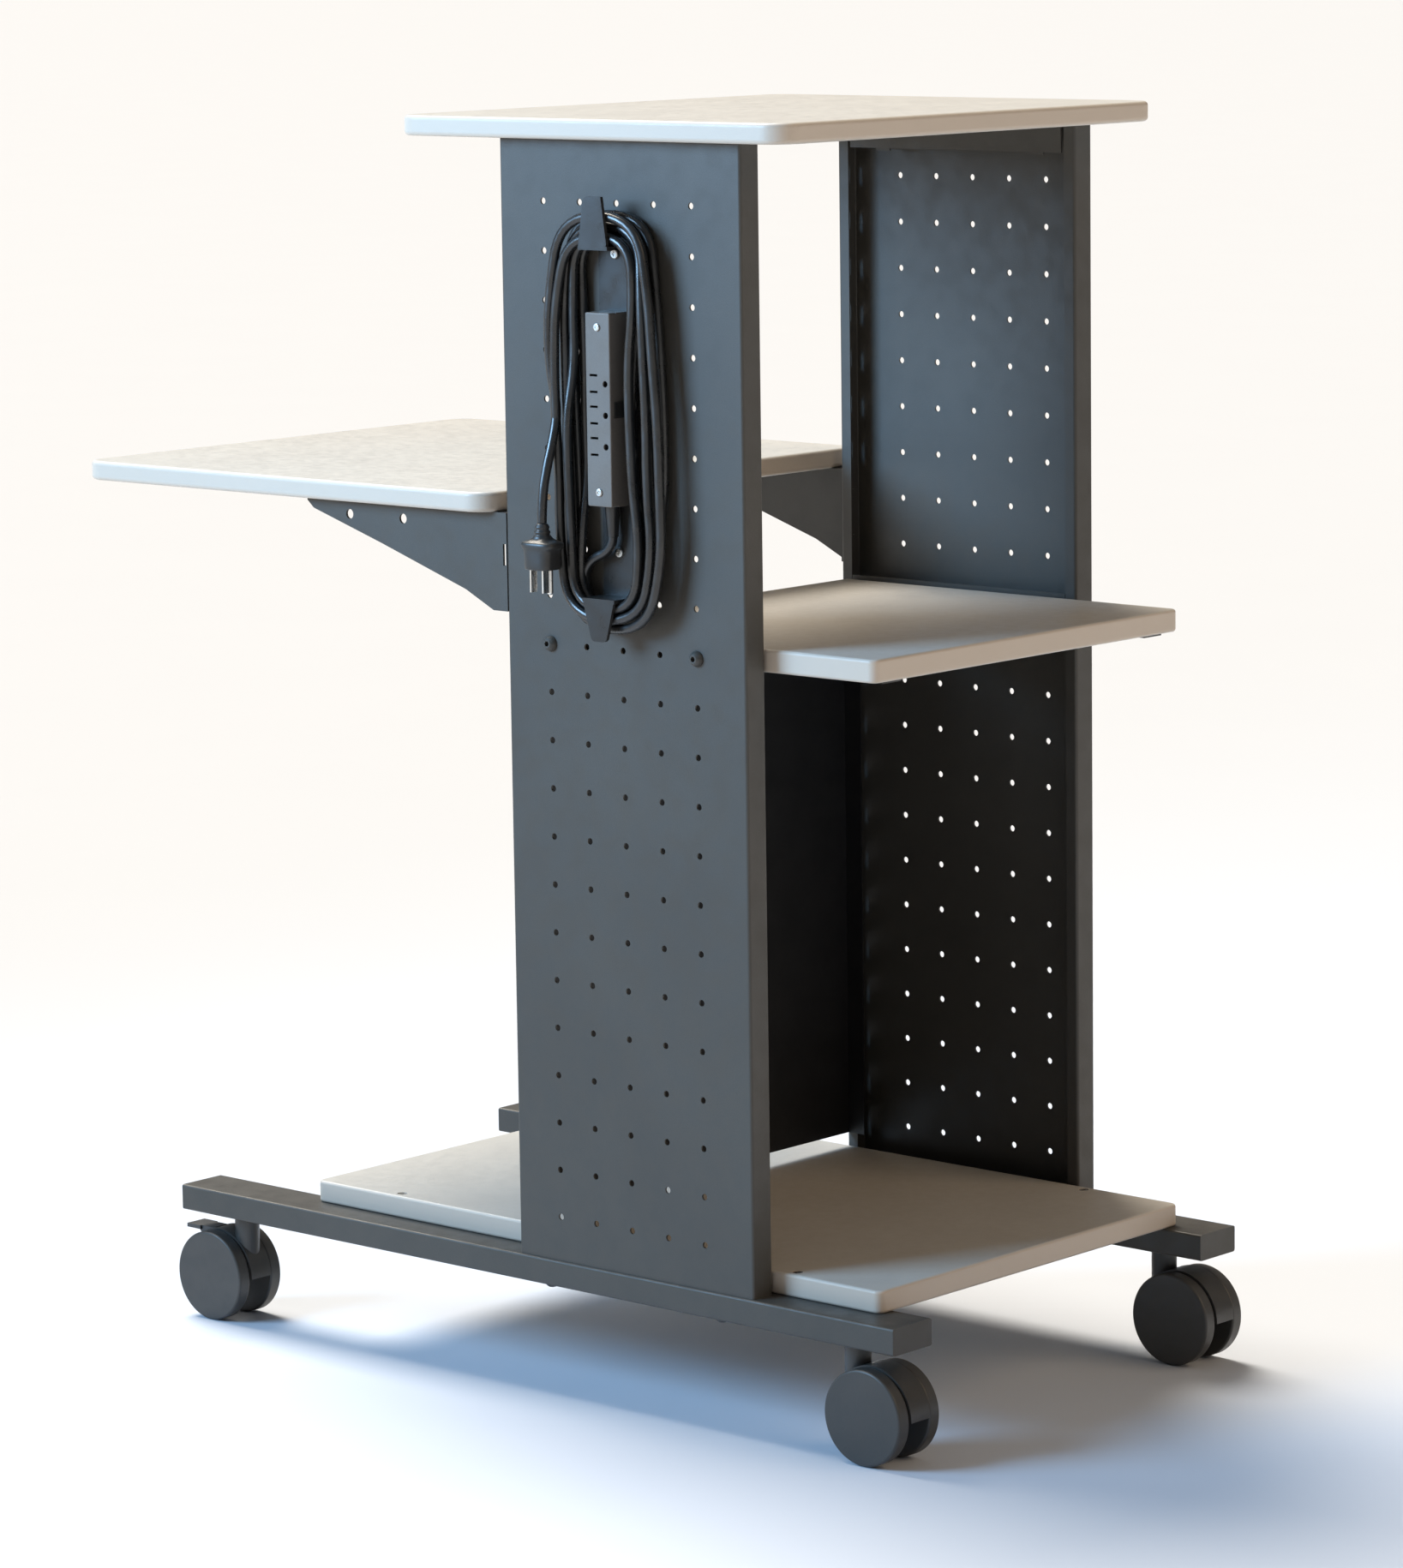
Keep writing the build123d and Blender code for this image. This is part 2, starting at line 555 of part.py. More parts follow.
HOOK_LIP = PLATE_FACE + HOOK_ROOM
HOOK_HALF = {"upper": (15.0, 9.0), "lower": (16.5, 7.5)}  # half width at the saddle and the tip
HOOK_RISE = {"upper": 40.5, "lower": 33.0}
left_face = side_face(-1, WINDER_Y, 0.0, PANEL_FACE)

with BuildPart() as cord_winder:
    with BuildSketch(left_face):
        with Locations((0, (HOOK_TOP + HOOK_BOTTOM) / 2)):
            RectangleRounded(35.0, HOOK_TOP - HOOK_BOTTOM + 18.0, 5.0)
        with Locations([(0, z) for z in WINDER_SCREW_Z]):
            Circle(BOLT_R, mode=Mode.SUBTRACT)
    extrude(amount=SHEET)
    for end, saddle_z, way in (("upper", HOOK_TOP, 1), ("lower", HOOK_BOTTOM, -1)):
        half, tip = HOOK_HALF[end]
        with BuildSketch(side_face(-1, WINDER_Y, saddle_z - way * HOOK_SHEET / 2, PLATE_FACE)):
            Rectangle(2 * half, HOOK_SHEET)
        extrude(amount=HOOK_ROOM + HOOK_SHEET)
        with BuildSketch(side_face(-1, WINDER_Y, saddle_z, HOOK_LIP)) as tongue:
            root_z, tip_z = -way * HOOK_SHEET, way * (HOOK_RISE[end] - HOOK_SHEET)
            with BuildLine():
                Polyline((-half, root_z), (half, root_z), (tip, tip_z), (-tip, tip_z), close=True)
            make_face()
            tips = tongue.vertices().sort_by(Axis.Z)
            fillet(tips[-2:] if way > 0 else tips[:2], 0.6 * tip)
        extrude(amount=HOOK_SHEET)
    for flank in (-1, 1):
        with BuildSketch(side_face(-1, WINDER_Y, STRIP_Z, PLATE_FACE)):
            with Locations((flank * (STRIP_WIDTH / 2 + 0.7), 0)):
                Rectangle(1.2, 12.0)
        extrude(amount=18.0)
save(cord_winder, "cord_winder")

with BuildPart() as winder_screws:
    with Locations([side_face(-1, WINDER_Y, z, PLATE_FACE) for z in WINDER_SCREW_Z]):
        add(make_pan_screw(12.0, shank=BOLT_R))
save(winder_screws, "winder_screws")

# Power strip --------------------------------------------------------------------------------

OUTLET_HEIGHTS = [OUTLET_Z + step * OUTLET_SPACING for step in (-1, 0, 1)]
STRIP_SCREW_HEIGHTS = [
    STRIP_Z + way * (STRIP_LENGTH / 2 - STRIP_SCREW_INSET) for way in (-1, 1)
]


def strip_plane(depth, z=0.0):
    """A plane across the strip, facing outwards, its X towards the front."""
    return side_face(-1, WINDER_Y, z, depth)


def cut_slots(plane, depth):
    """Two blade slots and a ground hole for each outlet, as a tool to subtract."""
    with BuildPart() as tool:
        with BuildSketch(plane):
            for z in OUTLET_HEIGHTS:
                with Locations([(-BLADE_Y, z + way * BLADE_SPACING / 2) for way in (-1, 1)]):
                    Rectangle(SLOT_LENGTH, SLOT_THICKNESS)
                with Locations((GROUND_OFFSET - BLADE_Y, z)):
                    Circle(GROUND_R)
        extrude(amount=-depth)
    return tool.part


with BuildPart() as strip_housing:
    with BuildSketch(strip_plane(PLATE_FACE, STRIP_Z)):
        Rectangle(STRIP_WIDTH, STRIP_LENGTH)
    extrude(amount=HOUSING_DEPTH)
    with BuildSketch(strip_plane(HOUSING_FACE, STRIP_Z)):
        Rectangle(STRIP_WIDTH - 2 * STRIP_WALL, STRIP_LENGTH - 2 * STRIP_WALL)
    extrude(amount=STRIP_WALL - HOUSING_DEPTH, mode=Mode.SUBTRACT)
    with BuildSketch(strip_plane(PLATE_FACE + STRIP_WALL)):
        with Locations([(0, z) for z in STRIP_SCREW_HEIGHTS]):
            Circle(3.6)
    extrude(amount=HOUSING_DEPTH - STRIP_WALL)
    with BuildSketch(strip_plane(PLATE_FACE + STRIP_WALL)):
        with Locations([(0, z) for z in STRIP_SCREW_HEIGHTS]):
            Circle(1.5)
    extrude(amount=HOUSING_DEPTH - STRIP_WALL, mode=Mode.SUBTRACT)
save(strip_housing, "strip_housing")

with BuildPart() as strip_cover:
    with BuildSketch(strip_plane(HOUSING_FACE, STRIP_Z)):
        RectangleRounded(STRIP_WIDTH, STRIP_LENGTH, 1.5)
    extrude(amount=COVER_DEPTH)
    fillet(strip_cover.faces().sort_by(Axis.X)[0].edges(), 1.0)
    with BuildSketch(strip_plane(HOUSING_FACE, STRIP_Z)):
        Rectangle(STRIP_WIDTH - 2 * STRIP_WALL, STRIP_LENGTH - 2 * STRIP_WALL)
    extrude(amount=COVER_DEPTH - STRIP_WALL, mode=Mode.SUBTRACT)
    with BuildSketch(strip_plane(HOUSING_FACE)):
        with Locations([(0, z) for z in STRIP_SCREW_HEIGHTS]):
            Circle(3.6)
    extrude(amount=COVER_DEPTH - STRIP_WALL)
    with BuildSketch(strip_plane(COVER_FACE)):
        with Locations([(0, z) for z in STRIP_SCREW_HEIGHTS]):
            Circle(1.5)
    extrude(amount=-COVER_DEPTH, mode=Mode.SUBTRACT)
    add(cut_slots(strip_plane(COVER_FACE), STRIP_WALL), mode=Mode.SUBTRACT)
save(strip_cover, "strip_cover")

with BuildPart() as strip_outlets:
    contact_face = COVER_FACE - STRIP_WALL
    with BuildSketch(strip_plane(contact_face)):
        with Locations([(0, z) for z in OUTLET_HEIGHTS]):
            Rectangle(STRIP_WIDTH - 2 * STRIP_WALL - 0.4, OUTLET_SPACING - 1.0)
    extrude(amount=-15.0)
    add(cut_slots(strip_plane(contact_face), 12.0), mode=Mode.SUBTRACT)
save(strip_outlets, "strip_outlets")

with BuildPart() as strip_screws:
    with Locations([strip_plane(COVER_FACE, z) for z in STRIP_SCREW_HEIGHTS]):
        add(make_pan_screw(16.0, shank=1.5, head=3.0, rise=1.4))
save(strip_screws, "strip_screws")

with BuildPart() as strain_relief:
    relief_middle = (LEAD_ROUTE[0][0], WINDER_Y)
    with BuildSketch(Plane.XY.offset(STRIP_Z - STRIP_LENGTH / 2)):
        with Locations(relief_middle):
            Circle(6.0)
    with BuildSketch(Plane.XY.offset(LEAD_ROUTE[0][2])):
        with Locations(relief_middle):
            Circle(CORD_R + 0.6)
    loft()
save(strain_relief, "strain_relief")

# Cord: the lead, the wound hank and the tail with its plug ------------------------------------

save(make_cord("lead", LEAD_ROUTE), "cord_lead")
save(make_cord("tail", TAIL_ROUTE), "cord_tail")

HANK_BACK, HANK_DEPTH = 214.3, 22.2
HANK_OUTLINE = (
    (-144.0, 935.0),
    (-180.0, 935.0),
    (-205.0, 908.0),
    (-215.0, 860.0),
    (-223.0, 720.0),
    (-220.0, 655.0),
    (-194.0, 627.0),
    (-146.0, 627.0),
    (-116.0, 680.0),
    (-105.0, 755.0),
    (-103.5, 870.0),
    (-118.0, 920.0),
)
HANK_HOLE = (
    (-141.0, HOOK_TOP),
    (-182.0, HOOK_TOP),
    (-184.0, 890.0),
    (-176.5, 850.0),
    (-176.5, 700.0),
    (-184.0, 655.0),
    (-182.0, HOOK_BOTTOM),
    (-141.0, HOOK_BOTTOM),
    (-141.0, 690.0),
    (-136.0, 720.0),
    (-134.0, 870.0),
)

with BuildPart() as cord_hank:
    with BuildSketch(Plane.YZ.offset(-HANK_BACK)):
        with BuildLine():
            FilletPolyline(*HANK_OUTLINE, radius=14.0, close=True)
        make_face()
        with BuildLine():
            FilletPolyline(*HANK_HOLE, radius=2.5, close=True)
        make_face(mode=Mode.SUBTRACT)
    extrude(amount=-HANK_DEPTH)
save(cord_hank, "cord_hank")

with BuildPart() as plug_body:
    with BuildSketch(Plane.XY.offset(PLUG_BOTTOM)):
        with Locations((PLUG_X, PLUG_Y)):
            RectangleRounded(23.0, 27.0, 7.0)
    extrude(amount=PLUG_SHOULDER - PLUG_BOTTOM)
    with BuildSketch(Plane.XY.offset(PLUG_SHOULDER - 5.0)):
        with Locations((PLUG_X, PLUG_Y)):
            RectangleRounded(24.0, 34.0, 7.0)
    extrude(amount=4.0)
    with BuildSketch(Plane.XY.offset(PLUG_SHOULDER)):
        with Locations((PLUG_X, PLUG_Y)):
            Circle(7.5)
    with BuildSketch(Plane.XY.offset(PLUG_TOP)):
        with Locations((PLUG_X, PLUG_Y)):
            Circle(CORD_R + 0.6)
    loft()
save(plug_body, "plug_body")

BLADE_LENGTH, GROUND_LENGTH = 17.5, 20.5
BLADE_WIDTH, BLADE_THICKNESS, GROUND_PIN_R = 6.35, 1.5, 2.4
BLADE_X = PLUG_X - 4.0
GROUND_X = BLADE_X + GROUND_OFFSET

with BuildPart() as plug_blades:
    with BuildSketch(Plane.XY.offset(PLUG_BOTTOM)):
        with Locations([(BLADE_X, PLUG_Y + way * BLADE_SPACING / 2) for way in (-1, 1)]):
            Rectangle(BLADE_WIDTH, BLADE_THICKNESS)
    extrude(amount=-BLADE_LENGTH)
    with BuildSketch(Plane.XY.offset(PLUG_BOTTOM)):
        with Locations((GROUND_X, PLUG_Y)):
            Circle(GROUND_PIN_R)
    extrude(amount=-GROUND_LENGTH)
    ground_tip = plug_blades.faces().sort_by(Axis.Z)[0]
    fillet(ground_tip.edges(), 2.0)
save(plug_blades, "plug_blades")

# Casters: a stem in the rail, a hood that swivels on it and two wheels on one axle ------------

STEM_COLLAR = 3.0
STEM_NUT_FLATS, STEM_NUT_HEIGHT = 15.0, 8.0
STEM_FOOT, STEM_HEAD = 45.0, RAIL_BOTTOM + 13.0
WHEEL_BORE = 10.2
PEDAL_PIN_R, PEDAL_HALF, PADDLE_HALF = 2.0, 8.3, 10.0

with BuildPart() as caster_nuts:
    with Locations([(x, y, RAIL_BOTTOM + RAIL_WALL) for x, y in STEM_PLACES]):
        add(make_nut(STEM_R, STEM_NUT_FLATS, STEM_NUT_HEIGHT))
save(caster_nuts, "caster_nuts")

for end, stem_y, way in CASTER_ENDS:
    for side, sign in SIDES:
        name = f"{end}_{side}"
        stem_x = sign * RAIL_X
        axle_y = stem_y + way * TRAIL
        # Across the wheels: X towards the trailing side, Y up.
        across = Plane((stem_x, axle_y, WHEEL_R), (0, way, 0), (way, 0, 0))
        braked = end == "rear"

        with BuildPart() as stem:
            with BuildSketch(Plane.XY.offset(STEM_FOOT)):
                with Locations((stem_x, stem_y)):
                    Circle(STEM_R)
            extrude(amount=STEM_HEAD - STEM_FOOT)
            with BuildSketch(Plane.XY.offset(RAIL_BOTTOM - STEM_COLLAR)):
                with Locations((stem_x, stem_y)):
                    RegularPolygon(8.5, 6, major_radius=False)
            extrude(amount=STEM_COLLAR)
        save(stem, f"caster_stem_{name}")

        with BuildPart() as hood:
            with BuildSketch(across):
                Circle(HOOD_R)
                with Locations((0, -HOOD_R)):
                    Rectangle(3 * HOOD_R, 2 * HOOD_R, mode=Mode.SUBTRACT)
            extrude(amount=HOOD_HALF, both=True)
            with BuildSketch(across):
                Circle(HOOD_R - HOOD_WALL)
                with Locations((0, -HOOD_R)):
                    Rectangle(3 * HOOD_R, 2 * HOOD_R, mode=Mode.SUBTRACT)
            extrude(amount=HOOD_HALF - HOOD_WALL, both=True, mode=Mode.SUBTRACT)
            with BuildSketch(across):
                Circle(7.0)
            extrude(amount=HOOD_HALF, both=True)
            with BuildSketch(Plane.XY.offset(WHEEL_R)):
                with Locations((stem_x, stem_y)):
                    Circle(NECK_R)
            extrude(amount=NECK_TOP - WHEEL_R)
            with BuildSketch(Plane.XY.offset(NECK_TOP)):
                with Locations((stem_x, stem_y)):
                    Circle(STEM_R + RUNNING)
            extrude(amount=STEM_FOOT - 1.0 - NECK_TOP, mode=Mode.SUBTRACT)
            with BuildSketch(across):
                Circle(AXLE_R)
            extrude(amount=HOOD_HALF, both=True, mode=Mode.SUBTRACT)
            if braked:
                with BuildSketch(across):
                    with Locations((5.0, 14.5)):
                        Rectangle(29.0, 30.0, align=(Align.MIN, Align.MIN))
                extrude(amount=HOOD_HALF - HOOD_WALL, both=True, mode=Mode.SUBTRACT)
                with BuildSketch(across):
                    with Locations(PEDAL_PIVOT):
                        Circle(PEDAL_PIN_R + RUNNING)
                extrude(amount=HOOD_HALF, both=True, mode=Mode.SUBTRACT)
        save(hood, f"caster_hood_{name}")

        with BuildPart() as axle:
            with BuildSketch(across):
                Circle(AXLE_R)
            extrude(amount=WHEEL_GAP + WHEEL_BORE - 0.4, both=True)
        save(axle, f"caster_axle_{name}")

        for place, outward in (("outer", sign), ("inner", -sign)):
            face = Plane(
                (stem_x + outward * WHEEL_GAP, axle_y, WHEEL_R), (0, 1, 0), (outward, 0, 0)
            )
            with BuildPart() as wheel:
                with BuildSketch(face):
                    Circle(WHEEL_R)
                extrude(amount=WHEEL_WIDTH)
                rims = wheel.edges().filter_by(GeomType.CIRCLE)
                fillet(rims, 2.0)
                with BuildSketch(face):
                    Circle(AXLE_R + RUNNING)
                extrude(amount=WHEEL_BORE, mode=Mode.SUBTRACT)
            save(wheel, f"caster_wheel_{name}_{place}")

        if braked:
            with BuildPart() as pedal:
                with BuildSketch(across):
                    with Locations(PEDAL_PIVOT):
                        Circle(4.5)
                    with BuildLine():
                        Polyline(
                            (11.8, 26.5), (10.0, 37.2), (27.0, 37.2), (27.0, 34.0), (20.2, 26.5),
                            close=True,
                        )
                    make_face()
                extrude(amount=PEDAL_HALF, both=True)
                with BuildSketch(across):
                    with Locations((24.0, 34.0)):
                        Rectangle(16.0, 3.2, align=(Align.MIN, Align.MIN))
                extrude(amount=PADDLE_HALF, both=True)
                with BuildSketch(across):
                    with Locations(PEDAL_PIVOT):
                        Circle(PEDAL_PIN_R)
                extrude(amount=HOOD_HALF - 0.3, both=True)
            save(pedal, f"brake_pedal_{name}")
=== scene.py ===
"""Looks of the mobile printer stand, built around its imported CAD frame."""

import random
from math import cos, pi, radians, sin

import bpy
from mathutils import Matrix, Vector


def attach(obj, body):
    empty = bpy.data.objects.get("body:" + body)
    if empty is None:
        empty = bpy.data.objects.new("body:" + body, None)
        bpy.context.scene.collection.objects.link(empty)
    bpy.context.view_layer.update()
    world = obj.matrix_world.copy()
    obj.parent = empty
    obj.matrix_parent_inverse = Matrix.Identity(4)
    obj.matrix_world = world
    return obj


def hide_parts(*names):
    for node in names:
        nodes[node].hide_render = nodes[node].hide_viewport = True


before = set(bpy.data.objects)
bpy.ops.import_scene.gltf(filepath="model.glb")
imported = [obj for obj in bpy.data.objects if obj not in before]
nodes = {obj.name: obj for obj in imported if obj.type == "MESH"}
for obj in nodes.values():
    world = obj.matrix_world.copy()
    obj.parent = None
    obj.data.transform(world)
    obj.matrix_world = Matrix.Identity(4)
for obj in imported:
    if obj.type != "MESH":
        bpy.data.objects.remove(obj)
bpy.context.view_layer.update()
MM = 0.001  # a millimetre, in metres


# Camera -------------------------------------------------------------------------------------

CAMERA_PLACE = (-3.39696, -3.09970, 1.18479)
CAMERA_AZIMUTH, CAMERA_ELEVATION, CAMERA_ROLL = -48.0795, 8.9791, -0.8029
CAMERA_LENS, CAMERA_SENSOR = 130.49, 36.0
CAMERA_REACH = 500.0


def add_camera():
    """A camera at the photograph's viewing angle."""
    azimuth, elevation = radians(CAMERA_AZIMUTH), radians(CAMERA_ELEVATION)
    roll = radians(CAMERA_ROLL)
    back = Vector(
        (sin(azimuth) * cos(elevation), -cos(azimuth) * cos(elevation), sin(elevation))
    )
    level = Vector((cos(azimuth), sin(azimuth), 0))
    upright = back.cross(level)
    right = cos(roll) * level + sin(roll) * upright
    up = cos(roll) * upright - sin(roll) * level
    data = bpy.data.cameras.new("camera")
    data.sensor_width = CAMERA_SENSOR
    data.lens = CAMERA_LENS
    data.clip_end = CAMERA_REACH
    camera = bpy.data.objects.new("camera", data)
    turn = Matrix((right, up, back)).transposed().to_4x4()
    camera.matrix_world = Matrix.Translation(CAMERA_PLACE) @ turn
    bpy.context.scene.collection.objects.link(camera)
    bpy.context.scene.camera = camera


add_camera()


# Cord ---------------------------------------------------------------------------------------

CORD_DIAMETER = 0.0076
CORD_ROUNDNESS = 5  # bevel resolution of its section
CORD_STEPS = 8  # segments from one control point to the next

# Free stretches, in millimetres: from the strip to the hank, and from the hank to the plug.
LEAD_ROUTE = (
    (-222.0, -161.35, 694.0),
    (-222.0, -160.1, 683.4),
    (-222.5, -139.3, 675.2),
    (-222.0, -130.9, 662.8),
    (-220.0, -131.7, 648.6),
    (-218.5, -139.2, 639.6),
    (-218.0, -150.9, 637.4),
)
TAIL_ROUTE = (
    (-231.0, -114.0, 790.0),
    (-236.5, -114.5, 769.0),
    (-244.0, -114.0, 747.0),
    (-248.8, -113.0, 725.0),
    (-249.5, -113.0, 704.0),
)

# Stations round one turn of the hank: the innermost strand's (Y, Z), then the outermost's.
STATIONS = (
    ((-136.0, 694.0), (-108.5, 698.0)),
    ((-130.0, 638.6), (-115.0, 623.0)),
    ((-192.5, 638.6), (-205.0, 623.0)),
    ((-190.0, 693.0), (-220.0, 678.0)),
    ((-181.5, 738.0), (-219.5, 732.0)),
    ((-180.5, 782.0), (-218.0, 786.0)),
    ((-181.5, 826.0), (-214.5, 834.0)),
    ((-191.0, 868.0), (-210.5, 878.0)),
    ((-193.5, 923.6), (-200.0, 939.2)),
    ((-129.0, 923.6), (-122.0, 939.2)),
    ((-130.0, 868.0), (-107.5, 874.0)),
    ((-131.0, 824.0), (-107.0, 830.0)),
    ((-132.0, 783.0), (-107.5, 786.0)),
    ((-134.0, 740.0), (-107.5, 742.0)),
)
AT_HOOKS = (1, 2, 8, 9)
TURNS = 7
FIRST_STATION, LAST_STATION = 2, 12  # where the first turn starts, and the last one ends
STATIONS_SOONER = 2  # how much earlier each turn steps across than the one before
COLUMNS = (-218.0, -225.4, -232.8)  # X of the strands, from the panel out
# Where each turn lies in the hank: its layer out from the hooks, and its column.
CELLS = ((0, 0), (0, 1), (0, 2), (1, 2), (1, 1), (1, 0), (2, 0), (2, 2))
OUTER_LAYER = 2
# The share of the way from the innermost to the outermost strand that each step takes.
LAYER_STEP, COLUMN_STEP = 0.42, 0.14
# How far a strand strays between the hooks, along Y and along X, in millimetres.
SWAY, SWING = (-1.2, 1.2), (-0.5, 0.3)
STRAY_SEED = 11


def hank_point(turn, station, stray):
    """A turn's control point. Later turns step across to their next place earlier on."""
    crossed = station + 1 > len(STATIONS) - STATIONS_SOONER * turn
    layer, column = CELLS[turn + crossed]
    inner, outer = STATIONS[station]
    if station in AT_HOOKS:
        share, sway, swing = layer / OUTER_LAYER, 0.0, 0.0
    else:
        share = min(1.0, LAYER_STEP * layer + COLUMN_STEP * column)
        sway, swing = stray.uniform(*SWAY), stray.uniform(*SWING)
    y = inner[0] + share * (outer[0] - inner[0]) + sway
    z = inner[1] + share * (outer[1] - inner[1])
    return COLUMNS[column] + swing, y, z


def cord_points():
    """The cord's control points from the strip to the plug, in millimetres."""
    stray = random.Random(STRAY_SEED)
    points = list(LEAD_ROUTE)
    for turn in range(TURNS):
        first = FIRST_STATION if turn == 0 else 0
        last = LAST_STATION if turn == TURNS - 1 else len(STATIONS)
        points += [hank_point(turn, station, stray) for station in range(first, last)]
    return points + list(TAIL_ROUTE)


# The moulded plug, from its face up to the cord: height, then half widths along X and Y.
PLUG_SECTIONS = (
    (668.0, 10.2, 12.2),
    (668.2, 11.3, 13.3),
    (672.0, 11.4, 13.4),
    (683.4, 11.4, 13.4),
    (684.8, 11.8, 16.2),
    (686.0, 12.0, 17.0),
    (688.2, 12.0, 17.0),
    (689.6, 11.0, 15.6),
    (690.6, 8.6, 10.2),
    (692.4, 7.4, 8.0),
    (694.0, 7.0, 7.2),
    (694.6, 5.9, 6.0),
    (695.8, 5.9, 6.0),
    (696.4, 6.5, 6.6),
    (697.8, 6.4, 6.4),
    (698.4, 5.3, 5.3),
    (699.6, 5.3, 5.3),
    (700.2, 5.8, 5.8),
    (701.6, 5.6, 5.6),
    (702.4, 4.8, 4.8),
    (704.0, 4.5, 4.5),
)
PLUG_RING = 32
PLUG_SQUARENESS, ROUND = 3.2, 2.0  # powers of the superellipse that each section follows
NECK_FOOT = 692.4  # sections are round from here up
PLUG_SMOOTHING = 2


def add_plug():
    """The moulded plug: a gripped body, a finger flange and a ribbed neck, lofted as one skin."""
    centre_x, centre_y, _ = TAIL_ROUTE[-1]
    vertices, faces = [], []
    for height, half_x, half_y in PLUG_SECTIONS:
        power = 2.0 / (PLUG_SQUARENESS if height < NECK_FOOT else ROUND)
        for step in range(PLUG_RING):
            turn = 2 * pi * step / PLUG_RING
            across = abs(cos(turn)) ** power * (1 if cos(turn) >= 0 else -1)
            along = abs(sin(turn)) ** power * (1 if sin(turn) >= 0 else -1)
            x, y = centre_x + half_x * across, centre_y + half_y * along
            vertices.append((x * MM, y * MM, height * MM))
    for ring in range(len(PLUG_SECTIONS) - 1):
        for step in range(PLUG_RING):
            low = ring * PLUG_RING + step
            beside = ring * PLUG_RING + (step + 1) % PLUG_RING
            faces.append((low, beside, beside + PLUG_RING, low + PLUG_RING))
    faces.append(tuple(reversed(range(PLUG_RING))))
    faces.append(tuple(range(len(vertices) - PLUG_RING, len(vertices))))
    mesh = bpy.data.meshes.new("plug_moulding")
    mesh.from_pydata(vertices, [], faces)
    mesh.polygons.foreach_set("use_smooth", [True] * len(faces))
    plug = bpy.data.objects.new("plug_moulding", mesh)
    bpy.context.scene.collection.objects.link(plug)
    smoothing = plug.modifiers.new("smoothing", "SUBSURF")
    smoothing.levels = smoothing.render_levels = PLUG_SMOOTHING
    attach(plug, "frame")
    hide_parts("plug_body")
    return plug


plug_moulding = add_plug()


def add_cord():
    """The whole cord on one smooth line, from the strip through the hank to the plug."""
    data = bpy.data.curves.new("power_cord", "CURVE")
    data.dimensions = "3D"
    data.bevel_depth = 1.0  # each point's own radius sets the thickness
    data.bevel_resolution = CORD_ROUNDNESS
    data.resolution_u = CORD_STEPS
    data.use_fill_caps = True
    spline = data.splines.new("NURBS")
    points = cord_points()
    spline.points.add(len(points) - 1)
    for control, place in zip(spline.points, points):
        control.co = [value * MM for value in place] + [1.0]
        control.radius = CORD_DIAMETER / 2
    spline.order_u = 3
    spline.use_endpoint_u = True
    cord = bpy.data.objects.new("power_cord", data)
    bpy.context.scene.collection.objects.link(cord)
    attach(cord, "frame")
    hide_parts("cord_lead", "cord_hank", "cord_tail")
    return cord


power_cord = add_cord()


# Materials ----------------------------------------------------------------------------------


